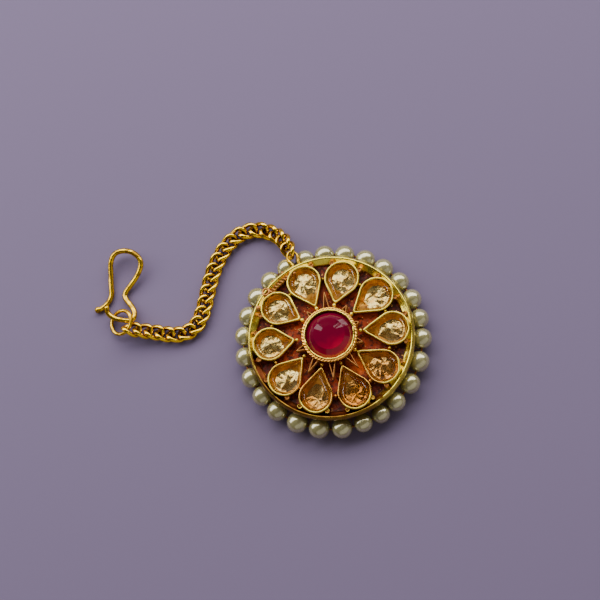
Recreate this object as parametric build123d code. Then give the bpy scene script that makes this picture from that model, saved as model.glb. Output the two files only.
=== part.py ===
from build123d import *
from math import asin, atan2, cos, degrees, hypot, pi, radians, sin
import os

# A maang tikka: a round medallion of ten pear stones round a ruby, edged with pearls, on a curb
# chain that ends in a wire hook. Millimetres. The origin is the middle of the flat back, +Z comes
# out of the face, and +Y runs from the ruby to the bail.

# Cup: a shallow flared pan with a floor inside, closed at the back by a loose disc.
CUP_RADIUS = 13.5
CUP_WALL = 0.9
FLOOR_TOP = 3.4
FLOOR_THICK = 0.6
FLARE_START = 2.6
LIP_RADIUS = 14.6
LIP_TOP = 5.2
LIP_WIDTH = 0.5
BEVEL_RADIUS = 13.0
BEVEL_BOTTOM = 4.3
BACK_PLATE_THICK = 0.6
SLIP = 0.1          # clearance of a loose disc or stone seat, on the radius
HAIRLINE = 0.06     # clearance between a piece and the metal that it is laid against

# Bezels and collar stand on the floor.
BEZEL_WALL = 0.4
BEZEL_TOP = 5.6
COLLAR_RADIUS = 4.6
COLLAR_TOP = 7.0
SOLDER_RADIUS = 0.42
SOLDER_TOP = 5.3
SOLDER_RING = 10.45
CLAW_RADIUS = 0.42
CLAW_HEIGHT = 5.2
CLAW_OUT = 0.22     # from the bezel's outer face to a claw's middle
CLAW_SPREAD = 48    # degrees to either side of a pear's own axis
BEAD_RADIUS = 0.36
BEAD_HEIGHT = 5.5
WEDGE_WALL = 0.22
WEDGE_TOP = 4.8
WEDGE_REACH = 8.2
WEDGE_SPREAD = 0.55

# Cut stones: an outline of SIDES points, a table, a girdle band and a point below.
SIDES = 16
PEAR_GIRDLE = 4.9
PEAR_TABLE = 5.9
PEAR_TABLE_SHARE = 0.52
RUBY_GIRDLE = 6.4
RUBY_TABLE = 7.6
RUBY_TABLE_SHARE = 0.62
GIRDLE_BAND = 0.15
STONE_BOTTOM = FLOOR_TOP + SLIP

# Red ground in the cells between the bezels.
GROUND_TOP = 4.2

# Pearls: drilled ovals on one wire, tied to the cup between each two.
PEARL_RING = 15.6
PEARL_HEIGHT = 1.82
PEARL_STRETCH = 1.02    # length along the wire, over the width across it
PEARLS = [
    # degrees off the even spacing, and width: clockwise, the bail leaves before the first
    (0.3, 3.35), (1.0, 3.4), (1.7, 3.4), (1.6, 3.4), (2.2, 3.45), (2.2, 3.4),
    (2.0, 3.45), (2.1, 3.35), (2.8, 3.5), (1.5, 3.6), (0.0, 3.55), (-0.8, 3.3),
    (0.6, 3.15), (2.0, 3.2), (2.0, 3.5), (1.2, 3.6), (0.5, 3.6), (-0.8, 3.5),
    (-0.9, 3.4), (-0.9, 3.45), (-1.6, 3.4), (-1.5, 3.4), (-0.9, 3.5), (-0.8, 3.5),
    (-0.6, 3.45), (-0.3, 3.35),
]
PEARL_SIDES = 12
PEARL_STEPS = 7
DRILL_RADIUS = 0.4
THREAD_RADIUS = 0.18
TIE_RADIUS = 0.05

# Bail: a wire eye that leaves the cup over the joint between two pearls.
BAIL_WIRE = 0.25
BAIL_ROUTE = [
    # x, y, z of one leg, from its root in the flare to the middle of the eye
    (-0.95, 13.8, 3.4),
    (-0.65, 15.2, 3.6),
    (-0.85, 16.6, 3.5),
    (0.0, 17.5, 3.35),
]

# Curb chain: every link is a twisted oval, faceted.
LINK_COUNT = 22
LINK_WIRE = 0.31
LINK_HALF_LENGTH = 1.5
LINK_HALF_WIDTH = 1.1
LINK_TWIST = 0.53        # rise of the wire at the four corners of the oval
LINK_STEPS = 12
WIRE_SIDES = 6
END_ROLL = 28.5         # degrees that the end links roll, one way each, to pass their rings
ROLL_LINKS = 4.5        # links over which that roll fades out
CHAIN_ROUTE = [
    # x, y, z of the chain's middle line, from the jump ring to the bail
    (-31.28, 17.76, 2.03),
    (-29.45, 16.68, 1.46),
    (-27.0, 15.1, 1.02),
    (-24.1, 13.45, 0.86),
    (-21.6, 13.2, 0.86),
    (-19.4, 14.4, 0.86),
    (-17.1, 17.1, 0.86),
    (-13.6, 21.4, 0.86),
    (-10.3, 24.1, 0.86),
    (-6.7, 25.3, 0.86),
    (-3.1, 24.4, 0.86),
    (-1.05, 22.22, 1.45),
    (-0.12, 20.01, 2.54),
    (0.01, 18.02, 3.17),
]
CHAIN_START_HEADING = (0.75, -0.64, -0.15)
CHAIN_END_HEADING = (0.07, -0.95, 0.31)

# Jump ring: tilted so that the hook's bar passes through it.
RING_RADIUS = 2.15
RING_WIRE = 0.325
RING_CENTRE = (-32.5, 19.95, 1.35)
RING_TURN = -29
RING_TILT = 25

# Hook: one bent wire with a ball at its free end.
HOOK_WIRE = 0.475
HOOK_BALL = 0.6
HOOK_ROUTE = [
    # x, y, z along the wire, from the free end over the arch to the catch
    (-35.5, 24.2, 0.6),
    (-34.4, 24.2, 0.55),
    (-33.3, 24.65, 0.5),
    (-32.3, 25.5, 0.5),
    (-31.7, 26.9, 0.6),
    (-30.7, 29.3, 0.9),
    (-29.8, 31.05, 1.4),
    (-28.5, 32.0, 1.75),
    (-26.7, 31.7, 1.8),
    (-25.3, 30.4, 1.8),
    (-24.9, 28.6, 1.6),
    (-26.2, 26.9, 1.2),
    (-28.6, 25.5, 0.8),
    (-30.0, 24.5, 0.6),
    (-29.8, 22.4, 0.8),
    (-29.75, 20.5, 1.05),
    (-30.5, 19.55, 1.3),
    (-32.0, 20.15, 1.4),
    (-33.4, 21.35, 1.45),
    (-33.95, 22.4, 1.55),
    (-33.8, 23.4, 1.75),
]

PEARS = [
    # turn: degrees off the even spacing; ring: radius of the round end's middle; tip: radius of
    # the pointed end; lean: degrees that the tip leans; half: half the bezel's width
    dict(turn=0.5, ring=10.8, tip=5.6, lean=0.0, half=3.05),
    dict(turn=0.0, ring=10.5, tip=5.6, lean=4.0, half=3.1),
    dict(turn=-0.7, ring=10.8, tip=5.4, lean=4.0, half=3.1),
    dict(turn=-0.6, ring=10.8, tip=5.4, lean=3.5, half=3.05),
    dict(turn=-2.2, ring=10.6, tip=5.0, lean=1.0, half=3.05),
    dict(turn=-1.9, ring=10.75, tip=5.2, lean=-2.0, half=3.0),
    dict(turn=-2.3, ring=10.75, tip=5.3, lean=-2.5, half=3.0),
    dict(turn=0.1, ring=10.8, tip=5.7, lean=-6.0, half=3.0),
    dict(turn=-0.8, ring=10.65, tip=5.9, lean=-1.0, half=3.0),
    dict(turn=-0.4, ring=10.6, tip=5.8, lean=-2.0, half=3.0),
]


def polar(radius, angle):
    """Point at a radius and an angle in degrees."""
    return (radius * cos(radians(angle)), radius * sin(radians(angle)))


def closed_solid(faces):
    """Solid from a list of polygons given by their corner points."""
    return Solid(Shell([Face(Wire.make_polygon(corners, close=True)) for corners in faces]))


def ring_solid(loops):
    """Solid tube that runs through closed loops of points and back to the first one."""
    faces = []
    for here, there in zip(loops, loops[1:] + loops[:1]):
        for k in range(len(here)):
            n = (k + 1) % len(here)
            faces += [(here[k], there[k], there[n]), (here[k], there[n], here[n])]
    return closed_solid(faces)


# ---- pears -------------------------------------------------------------------------------------

def pear_angle(index):
    """Direction of a pear, in degrees from +X, counted clockwise from the bail."""
    return 90 - 360 / len(PEARS) * index + PEARS[index]["turn"]


def pear_frame(index):
    """Place of a pear: its round end's middle, with local +X away from its tip."""
    row = PEARS[index]
    middle = polar(row["ring"], pear_angle(index))
    tip = polar(row["tip"], pear_angle(index) + row["lean"])
    heading = degrees(atan2(middle[1] - tip[1], middle[0] - tip[0]))
    return Pos(*middle) * Rot(Z=heading)


def pear_sizes(index, inset):
    """Half width and tip distance of a pear's outline, moved inwards by inset."""
    row = PEARS[index]
    middle = polar(row["ring"], pear_angle(index))
    tip = polar(row["tip"], pear_angle(index) + row["lean"])
    reach = hypot(middle[0] - tip[0], middle[1] - tip[1])
    half = row["half"]
    return half - inset, reach - inset * reach / half


def pear_face(index, inset=0.0):
    """Flat pear: a round end drawn out by two straight sides to a tip."""
    half, reach = pear_sizes(index, inset)
    lean = asin(half / reach)
    upper = (-half * sin(lean), half * cos(lean))
    lower = (upper[0], -upper[1])
    outline = [
        ThreePointArc(upper, (half, 0), lower),
        Line(lower, (-reach, 0)),
        Line((-reach, 0), upper),
    ]
    return pear_frame(index) * make_face(outline)


def pear_outline(half, reach):
    """Points round a pear, as the straight spokes from its round end's middle meet it."""
    corner = 90 + degrees(asin(half / reach))
    points = []
    for k in range(SIDES):
        angle = 360 / SIDES * k
        past = max(0.0, min(angle, 360 - angle) - corner)
        points.append(polar(half / cos(radians(past)), angle))
    return points


def cut_stone(outline, girdle, table, table_share):
    """Faceted stone: table, three crown facets a corner, girdle band and pointed pavilion."""
    upper = [(x, y, girdle + GIRDLE_BAND) for x, y in outline]
    lower = [(x, y, girdle) for x, y in outline]
    flat = [(x * table_share, y * table_share, table) for x, y in outline[::2]]
    culet = (0, 0, STONE_BOTTOM)
    faces = [flat]
    for k in range(SIDES):
        n = (k + 1) % SIDES
        faces += [(upper[k], lower[k], lower[n], upper[n]), (lower[k], culet, lower[n])]
    for j in range(len(flat)):
        k = 2 * j
        nearest, next_one = flat[j], flat[(j + 1) % len(flat)]
        faces += [
            (nearest, upper[k], upper[k + 1]),
            (nearest, upper[k + 1], next_one),
            (next_one, upper[k + 1], upper[(k + 2) % SIDES]),
        ]
    return closed_solid(faces)


def pear_stone(index):
    half, reach = pear_sizes(index, BEZEL_WALL + HAIRLINE)
    return pear_frame(index) * cut_stone(
        pear_outline(half, reach), PEAR_GIRDLE, PEAR_TABLE, PEAR_TABLE_SHARE)


def ruby():
    radius = COLLAR_RADIUS - BEZEL_WALL - HAIRLINE
    outline = [polar(radius, 360 / SIDES * k) for k in range(SIDES)]
    return cut_stone(outline, RUBY_GIRDLE, RUBY_TABLE, RUBY_TABLE_SHARE)


# ---- setting -----------------------------------------------------------------------------------

def cup():
    """Pan with its floor, flared rim, lip and inner bevel, turned about the Z axis."""
    lip_inner = LIP_RADIUS - LIP_WIDTH
    floor_bottom = FLOOR_TOP - FLOOR_THICK
    profile = Polyline(
        (0, floor_bottom),
        (CUP_RADIUS - CUP_WALL, floor_bottom),
        (CUP_RADIUS - CUP_WALL, 0),
        (CUP_RADIUS, 0),
        (CUP_RADIUS, FLARE_START),
        (LIP_RADIUS - 0.1, LIP_TOP - 1.0),
        (LIP_RADIUS, LIP_TOP - 0.25),
        (LIP_RADIUS - 0.15, LIP_TOP),
        (lip_inner, LIP_TOP),
        (BEVEL_RADIUS, BEVEL_BOTTOM),
        (BEVEL_RADIUS, FLOOR_TOP),
        (0, FLOOR_TOP),
        close=True,
    )
    return revolve(make_face(Plane.XZ * profile), Axis.Z)


def standing(face, top, bottom=FLOOR_TOP - FLOOR_THICK / 2):
    """Upright wall or post over a flat face, rooted in the floor."""
    return extrude(Pos(0, 0, bottom) * face, top - bottom)


def between_pears(index):
    """Direction midway between a pear and the next one, in degrees."""
    follower = (index + 1) % len(PEARS)
    turn = (pear_angle(follower) - pear_angle(index)) % 360
    return pear_angle(index) + (turn - 360) / 2


def solder_face(index, grow=0.0):
    """Round joint where two neighbouring bezels are soldered."""
    return Pos(*polar(SOLDER_RING, between_pears(index))) * Circle(SOLDER_RADIUS + grow)


def wedge_face(index, grow=0.0):
    """Two thin strips that run from the collar to one point between two pears."""
    strips = []
    for side in (-1, 1):
        start, end = (COLLAR_RADIUS - BEZEL_WALL / 2, side * WEDGE_SPREAD), (WEDGE_REACH, 0)
        length = hypot(end[0] - start[0], end[1] - start[1])
        lean = degrees(atan2(end[1] - start[1], end[0] - start[0]))
        middle = ((start[0] + end[0]) / 2, (start[1] + end[1]) / 2)
        strip = Rectangle(length + 2 * grow, WEDGE_WALL + 2 * grow)
        strips.append(Rot(Z=between_pears(index)) * Pos(*middle) * Rot(Z=lean) * strip)
    return strips[0] + strips[1]


def bail():
    """Wire eye for the chain, swept along its route and back on the other side."""
    mirrored = [(-x, y, z) for x, y, z in reversed(BAIL_ROUTE[:-1])]
    route = Spline(*BAIL_ROUTE, *mirrored)
    return sweep(Plane(route @ 0, z_dir=route % 0) * Circle(BAIL_WIRE), path=route)


def setting():
    """All the soldered metal of the medallion as one solid."""
    metal = cup()
    inside_bezels = []
    for index, row in enumerate(PEARS):
        metal += standing(pear_face(index), BEZEL_TOP)
        metal += standing(solder_face(index), SOLDER_TOP)
        metal += standing(wedge_face(index), WEDGE_TOP)
        tip_angle = pear_angle(index) + row["lean"]
        metal += Pos(*polar(row["tip"] - 0.1, tip_angle), BEAD_HEIGHT) * Sphere(BEAD_RADIUS)
        for side in (-1, 1):
            claw = polar(row["half"] + CLAW_OUT, side * CLAW_SPREAD)
            metal += pear_frame(index) * Pos(*claw, CLAW_HEIGHT) * Sphere(CLAW_RADIUS)
        inside_bezels.append(standing(pear_face(index, BEZEL_WALL), 2 * BEZEL_TOP, FLOOR_TOP))
    metal += standing(Circle(COLLAR_RADIUS), COLLAR_TOP)
    inside_bezels.append(standing(Circle(COLLAR_RADIUS - BEZEL_WALL), 2 * COLLAR_TOP, FLOOR_TOP))
    for hollow in inside_bezels:
        metal -= hollow
    return metal + bail()


def red_ground():
    """Sheet on the floor, cut out round every bezel, joint, strip and the collar."""
    bottom = FLOOR_TOP + HAIRLINE
    sheet = Circle(BEVEL_RADIUS - SLIP) - Circle(COLLAR_RADIUS + HAIRLINE)
    for index in range(len(PEARS)):
        sheet -= pear_face(index, -HAIRLINE)
        sheet -= solder_face(index, HAIRLINE)
        sheet -= wedge_face(index, HAIRLINE)
    return standing(sheet, GROUND_TOP, bottom)


def back_plate():
    return standing(Circle(CUP_RADIUS - CUP_WALL - SLIP), BACK_PLATE_THICK, 0)


# ---- pearls ------------------------------------------------------------------------------------

def pearl_angle(index):
    """Direction of a pearl, in degrees: the bail leaves between the last one and the first."""
    index %= len(PEARLS)
    return 90 - 360 / len(PEARLS) * (index + 0.5) + PEARLS[index][0]


def between_pearls(index):
    """Direction of the joint after a pearl, in degrees."""
    turn = pearl_angle(index + 1) - pearl_angle(index)
    return pearl_angle(index) - (-turn % 360) / 2


def pearl(index):
    """Drilled oval, faceted round its drill hole, which lies along the wire."""
    wide_half = PEARLS[index][1] / 2
    long_half = wide_half * PEARL_STRETCH
    mouth = asin(DRILL_RADIUS / wide_half)
    steps = [mouth + (pi - 2 * mouth) * k / (PEARL_STEPS - 1) for k in range(PEARL_STEPS)]
    profile = [(-long_half * cos(step), wide_half * sin(step)) for step in steps]
    loops = []
    for side in range(PEARL_SIDES):
        turn = 2 * pi * side / PEARL_SIDES
        loops.append([(x, out * cos(turn), out * sin(turn)) for x, out in profile])
    place = Pos(*polar(PEARL_RING, pearl_angle(index)), PEARL_HEIGHT)
    return place * Rot(Z=pearl_angle(index) + 90) * ring_solid(loops)


def pearl_wire():
    """Ring of wire through the pearls, with a short tie to the cup between each two."""
    inner = CUP_RADIUS + HAIRLINE
    tie = Pos((inner + PEARL_RING) / 2) * Rot(Y=90) * Cylinder(TIE_RADIUS, PEARL_RING - inner)
    ties = [Rot(Z=between_pearls(index)) * tie for index in range(len(PEARLS))]
    return Pos(0, 0, PEARL_HEIGHT) * (Torus(PEARL_RING, THREAD_RADIUS) + ties)


# ---- chain, jump ring and hook -----------------------------------------------------------------

def curb_link():
    """One twisted oval link about the origin, its length along X, with WIRE_SIDES flat sides."""
    loops = []
    for step in range(LINK_STEPS):
        turn = 2 * pi * step / LINK_STEPS
        middle = Vector(LINK_HALF_LENGTH * cos(turn), LINK_HALF_WIDTH * sin(turn),
                        LINK_TWIST * sin(2 * turn))
        along = Vector(-LINK_HALF_LENGTH * sin(turn), LINK_HALF_WIDTH * cos(turn),
                       2 * LINK_TWIST * cos(2 * turn)).normalized()
        outward = Vector(cos(turn), sin(turn), 0)
        outward = (outward - along * outward.dot(along)).normalized()
        across = along.cross(outward)
        loop = []
        for side in range(WIRE_SIDES):
            angle = 2 * pi * side / WIRE_SIDES
            point = middle + outward * (LINK_WIRE * cos(angle)) + across * (LINK_WIRE * sin(angle))
            loop.append(tuple(point))
        loops.append(loop)
    return ring_solid(loops)


def link_roll(index):
    """Roll of a link about the chain, in degrees: opposite at the two ends, none between."""
    from_last = LINK_COUNT - 1 - index
    fade_in = max(0.0, 1 - index / ROLL_LINKS)
    fade_out = max(0.0, 1 - from_last / ROLL_LINKS)
    return END_ROLL * (fade_out - fade_in)


def curb_chain():
    """All the links, evenly spaced along the chain's middle line."""
    route = Spline(*CHAIN_ROUTE, tangents=[CHAIN_START_HEADING, CHAIN_END_HEADING])
    link = curb_link()
    links = []
    for index in range(LINK_COUNT):
        share = index / (LINK_COUNT - 1)
        along = route % share
        left = Vector(0, 0, 1).cross(along)
        frame = Plane(origin=route @ share, x_dir=along, z_dir=along.cross(left))
        links.append(frame.location * Rot(X=link_roll(index)) * link)
    return Compound(links)


def jump_ring():
    place = Pos(*RING_CENTRE) * Rot(Z=RING_TURN) * Rot(Y=-RING_TILT)
    return place * Torus(RING_RADIUS, RING_WIRE)


def hook():
    route = Spline(*HOOK_ROUTE)
    wire = sweep(Plane(route @ 0, z_dir=route % 0) * Circle(HOOK_WIRE), path=route)
    wire += Pos(*HOOK_ROUTE[0]) * Sphere(HOOK_BALL)
    return wire + Pos(*HOOK_ROUTE[-1]) * Sphere(HOOK_WIRE)


# ---- the files ---------------------------------------------------------------------------------

def pieces():
    """Every piece with its name."""
    yield "setting", setting()
    yield "back_plate", back_plate()
    yield "red_ground", red_ground()
    yield "ruby", ruby()
    for index in range(len(PEARS)):
        yield f"pear_{index + 1:02d}", pear_stone(index)
    for index in range(len(PEARLS)):
        yield f"pearl_{index + 1:02d}", pearl(index)
    yield "pearl_wire", pearl_wire()
    yield "curb_chain", curb_chain()
    yield "jump_ring", jump_ring()
    yield "hook", hook()


os.makedirs("parts", exist_ok=True)
for name, shape in pieces():
    export_step(shape, f"parts/{name}.step")
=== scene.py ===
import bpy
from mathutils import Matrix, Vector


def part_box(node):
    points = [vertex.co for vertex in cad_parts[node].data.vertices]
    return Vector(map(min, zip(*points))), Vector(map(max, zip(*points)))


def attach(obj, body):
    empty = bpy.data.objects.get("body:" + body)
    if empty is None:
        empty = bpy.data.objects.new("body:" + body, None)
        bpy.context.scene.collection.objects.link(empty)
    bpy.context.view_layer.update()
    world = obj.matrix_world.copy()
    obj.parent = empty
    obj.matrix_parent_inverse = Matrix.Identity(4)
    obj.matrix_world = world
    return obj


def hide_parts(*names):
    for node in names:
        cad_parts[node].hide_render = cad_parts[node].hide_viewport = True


bl_info = {
    "name": "Maang tikka",
    "version": (1, 0, 0),
    "blender": (4, 5, 0),
    "location": "3D View > Sidebar > Tikka",
    "description": "Dresses a packed maang tikka: gilt setting, glass, pearls, chain and hook",
    "category": "Object",
}

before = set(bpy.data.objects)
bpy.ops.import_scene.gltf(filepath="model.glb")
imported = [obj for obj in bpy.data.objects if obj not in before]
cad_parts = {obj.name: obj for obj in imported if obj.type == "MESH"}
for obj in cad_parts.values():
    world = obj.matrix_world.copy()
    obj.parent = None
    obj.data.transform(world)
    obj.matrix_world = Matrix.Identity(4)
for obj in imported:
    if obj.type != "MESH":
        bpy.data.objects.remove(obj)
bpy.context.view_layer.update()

from collections import namedtuple
from math import asin, atan2, cos, degrees, exp, hypot, pi, radians, sin

import bmesh
import bpy
import numpy as np
from bpy.props import FloatProperty, FloatVectorProperty, IntProperty, PointerProperty
from mathutils import Matrix, Vector, noise

MM = 0.001

# The origin is the middle of the flat back, +Z comes out of the face and +Y runs to the bail.
# Shapes are worked out in millimetres, and Shape.mesh() turns them into metres.

# Cup.
CUP_RADIUS = 13.5
CUP_WALL = 0.9
FLOOR_TOP = 3.4
FLOOR_BOTTOM = 2.8
LIP_RADIUS = 14.6
LIP_TOP = 5.2
BEVEL_RADIUS = 13.0
BEVEL_BOTTOM = 4.34
BEVEL_EDGE = 13.95      # radius at which the bevel turns into the lip
GROUND_TOP = 4.15

# Bezels, joints, claws, beads and collar.
BEZEL_TOP = 5.6
COLLAR_RADIUS = 4.6
COLLAR_TOP = 7.0
SOLDER_RING = 10.45
SOLDER_HEIGHT = 4.6
CLAW_OUT = 0.22
CLAW_SPREAD = 48
CLAW_HEIGHT = 5.0
# claws past this reach in this direction are gilt; all the others are dark copper: painted shade
BRIGHT_CLAWS = (-0.37, -0.93, 10.3)     # a direction, and how far out claws in it are gilt
BEAD_HEIGHT = 5.35
WEDGE_TOP = 4.5
WEDGE_REACH = 8.1
WEDGE_SPREAD = 0.55
STRIP_FOOT = -1.7       # foot of the V strips, from their top
MEND_TURN = 119         # where the mend's loop lies on the rim
MEND_BALLS = [          # radius, turn, size
    (13.8, 132, 0.45), (13.3, 117, 0.4), (13.1, 94, 0.42), (14.3, 110, 0.26), (14.4, 101, 0.26),
]

# Stones.
STONE_GAP = 0.46        # from the outside of a wall to the stone in it
PEAR_GIRDLE = 4.9
PEAR_TABLE = 5.6
TABLE_SHARE = 0.76
GIRDLE_BAND = 0.15
FOIL_HEIGHT = 3.95
FOIL_SHARE = 0.68       # width of the foil's inner facets
FOIL_TIP = 0.1          # how far their corners are tipped
RUBY_RINGS = [          # share of the ruby's radius, height, dip at its worn corners
    (0.5, 4.6, 0), (1.0, 6.1, 0), (1.0, 6.25, 0), (0.9, 6.6, 0), (0.66, 7.46, 0.16),
    (0.34, 7.54, 0),
]
RUBY_WORN = (3, 4, 12, 13)

# turn: degrees off the even spacing; ring: radius of the round end's middle; tip: radius of the
# pointed end; lean: degrees that the tip leans; half: half the bezel's width; hub: where the
# foil's facets meet, and how far it bulges up or down there; strip: length of the V strip after
# the pear, as a share of WEDGE_REACH past the collar
PearRow = namedtuple("PearRow", "turn ring tip lean half hub strip")
PEARS = [
    PearRow(0.5, 10.8, 5.6, 0.0, 3.05, (-0.3, 0.2, 0.22), 0.9),
    PearRow(0.0, 10.5, 5.6, 4.0, 3.1, (-0.5, -0.1, 0.24), 0.4),
    PearRow(-0.7, 10.8, 5.4, 4.0, 3.1, (-0.6, 0.3, -0.2), 0.25),
    PearRow(-0.6, 10.8, 5.4, 3.5, 3.05, (-0.3, 0.1, 0.2), 0.35),
    PearRow(-2.2, 10.6, 5.0, 1.0, 3.05, (-0.5, 0.3, 0.26), 0.8),
    PearRow(-1.9, 10.75, 5.2, -2.0, 3.0, (0.2, 0.2, 0.02), 0.85),
    PearRow(-2.3, 10.75, 5.3, -2.5, 3.0, (0.3, 0.3, -0.12), 0.8),
    PearRow(0.1, 10.8, 5.7, -6.0, 3.0, (0.2, 0.3, 0.18), 0.5),
    PearRow(-0.8, 10.65, 5.9, -1.0, 3.0, (0.0, -0.2, 0.2), 0.3),
    PearRow(-0.4, 10.6, 5.8, -2.0, 3.0, (-0.2, -0.2, 0.24), 0.35),
]

BAIL_ROUTE = [
    (-0.95, 13.8, 3.4), (-0.65, 15.2, 3.6), (-0.85, 16.6, 3.5), (0.0, 17.5, 3.35),
    (0.85, 16.6, 3.5), (0.65, 15.2, 3.6), (0.95, 13.8, 3.4),
]

PEARLS = [
    # degrees off the even spacing, and width: clockwise, the bail leaves before the first
    (0.3, 3.35), (1.0, 3.4), (1.7, 3.4), (1.6, 3.4), (2.2, 3.45), (2.2, 3.4),
    (2.0, 3.45), (2.1, 3.35), (2.8, 3.5), (1.5, 3.6), (0.0, 3.55), (-0.8, 3.3),
    (0.6, 3.15), (2.0, 3.2), (2.0, 3.5), (1.2, 3.6), (0.5, 3.6), (-0.8, 3.5),
    (-0.9, 3.4), (-0.9, 3.45), (-1.6, 3.4), (-1.5, 3.4), (-0.9, 3.5), (-0.8, 3.5),
    (-0.6, 3.45), (-0.3, 3.35),
]

CHAIN_ROUTE = [
    # the chain's middle line, from the jump ring to the bail
    (-31.28, 17.76, 2.03), (-29.45, 16.68, 1.46), (-27.0, 15.1, 1.02), (-24.1, 13.45, 0.86),
    (-21.6, 13.2, 0.86), (-19.4, 14.4, 0.86), (-17.1, 17.1, 0.86), (-13.6, 21.4, 0.86),
    (-10.3, 24.1, 0.86), (-6.7, 25.3, 0.86), (-3.1, 24.4, 0.86), (-1.05, 22.22, 1.45),
    (-0.12, 20.01, 2.54), (0.01, 18.02, 3.17),
]
CHAIN_HEADINGS = ((0.75, -0.64, -0.15), (0.07, -0.95, 0.31))

RING_CENTRE = (-32.5, 19.95, 1.35)
RING_TURN = -29
RING_TILT = 25

HOOK_ROUTE = [
    # from the free end over the arch to the catch
    (-35.5, 24.2, 0.6), (-34.4, 24.2, 0.55), (-33.3, 24.65, 0.5), (-32.3, 25.5, 0.5),
    (-31.7, 26.9, 0.6), (-30.7, 29.3, 0.9), (-29.8, 31.05, 1.4), (-28.5, 32.0, 1.75),
    (-26.7, 31.7, 1.8), (-25.3, 30.4, 1.8), (-24.9, 28.6, 1.6), (-26.2, 26.9, 1.2),
    (-28.6, 25.5, 0.8), (-30.0, 24.5, 0.6), (-29.8, 22.4, 0.8), (-29.75, 20.5, 1.05),
    (-30.5, 19.55, 1.3), (-32.0, 20.15, 1.4), (-33.4, 21.35, 1.45), (-33.95, 22.4, 1.55),
    (-33.8, 23.4, 1.75),
]

# Stage.
LOOK_AT = (-1.67, 9.81, 0)      # before the camera's azimuth turns it
FLOOR_RADIUS = 900

# Colours that wear, dirt and age leave, and painted light and shade, beside those in the panel.
# finish of the crests on the side towards the light: painted light
CREST_GOLD = (1, 0.75, 0.12)
COLLAR_GOLD = (1, 0.5, 0.09)
# matt patches of wear, and painted shade on the crests away from the light
WEAR_AND_SHADE_GOLD = (0.62, 0.27, 0.06)
# painted shade on the rim's bevel and lip, on the side away from the light
SHADE_BROWN = (0.11, 0.03, 0.01)
STRIP_GILT = (1.0, 0.7, 0.2)
# copper of the mend, and painted shade on the dark claws
COPPER_AND_CLAW_SHADE = (0.42, 0.17, 0.04)
LACQUER_CLOUD = (0.66, 0.085, 0.01)
# colour of a pool of light painted on the lacquer
LACQUER_PAINTED_LIGHT = (1, 0.2, 0.02)
LACQUER_SPECK = (0.03, 0.005, 0.002)
CRUMB_GOLD = (1.0, 0.55, 0.16)
FOIL_DEEP, FOIL_LOW_Y = (0.60, 0.37, 0.10), (0.52, 0.20, 0.028)
# foil of each stone's steep outer facets, darker and less metallic: painted shade round its rim
EDGE_FOIL = (0.92, 0.5, 0.1), (0.6, 0.26, 0.045), (0.42, 0.14, 0.018)   # tint, deep, tint towards -Y
PAINTED_LIGHT_PLACE = (2.2, -6.3)       # where a pool of light is painted on the lacquer


# ---- sizes and colours -------------------------------------------------------------------------

def length(name, description, default):
    """A size that is shown in the scene's unit; default in millimetres."""
    return FloatProperty(name=name, description=description, default=default * MM,
                         unit="LENGTH", subtype="DISTANCE", precision=5)


def angle(name, description, default):
    """An angle that is shown in degrees."""
    return FloatProperty(name=name, description=description, default=radians(default),
                         unit="ROTATION", subtype="ANGLE")


def share(name, description, default):
    return FloatProperty(name=name, description=description, default=default,
                         min=0, max=1, subtype="FACTOR")


def colour(name, description, default):
    return FloatVectorProperty(name=name, description=description, default=default,
                               size=3, min=0, max=1, subtype="COLOR")


class TikkaMetal(bpy.types.PropertyGroup):
    """Gold plate on the setting and gold wire on the chain, ring and hook."""
    plate: colour("Plate", "Colour of the polished gold plate", (1.0, 0.85, 0.11))
    # deep brown of the plate between the bezels: painted shade, with tarnished metal
    recess_shade_and_tarnish: colour("Recess", "Colour of the plate deep between the bezels", (0.26, 0.085, 0.012))
    wire: colour("Wire", "Colour of the chain, jump ring and hook", (0.96, 0.60, 0.02))
    # tarnished wire, which on the chain also paints shade under and inside the links
    tarnish_and_shade: colour("Tarnish", "Colour of the wire where it is not rubbed bright",
                    (0.15, 0.05, 0.007))
    roughness: share("Roughness", "Roughness of the polished plate", 0.2)


class TikkaSetting(bpy.types.PropertyGroup):
    """Walls, claws and beads of the medallion."""
    wall: length("Bezel wall", "Thickness of a bezel's wall", 0.43)
    claw: length("Claw", "Radius of a claw", 0.42)
    bead: length("Bead", "Radius of the bead at a bezel's tip", 0.36)
    solder: length("Solder joint", "Radius of the joint between two bezels", 0.42)
    strip: length("Strip", "Thickness of the V strips between two bezels", 0.16)
    dents: length("Dents", "Depth of the hammer dents round the rim", 0.05)


class TikkaStones(bpy.types.PropertyGroup):
    """Cut glass of the ten pears and the ruby."""
    champagne: colour("Champagne", "Tint of the pears' glass", (1.0, 0.92, 0.66))
    foil: colour("Foil", "Colour of the foil behind the pears", (0.83, 0.71, 0.35))
    ruby: colour("Ruby", "Colour of the ruby's glass", (0.14, 0.001, 0.019))
    ruby_light: colour("Ruby light", "Brighter colour low in the ruby", (0.45, 0.002, 0.03))
    ground: colour("Red ground", "Colour of the lacquer between the bezels", (0.10, 0.009, 0.003))


class TikkaPearls(bpy.types.PropertyGroup):
    """Imitation pearls on their wire."""
    radius: length("Ring", "Radius of the ring that they are strung on", 15.6)
    height: length("Height", "Height of their middles over the back", 1.82)
    stretch: FloatProperty(name="Stretch", description="Length along the wire over the width",
                           default=1.02, min=0.5, max=2)
    nacre: colour("Nacre", "Colour of the pearls", (0.55, 0.51, 0.23))
    shade: colour("Shade", "Colour of their cloudier patches", (0.38, 0.33, 0.12))


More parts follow.
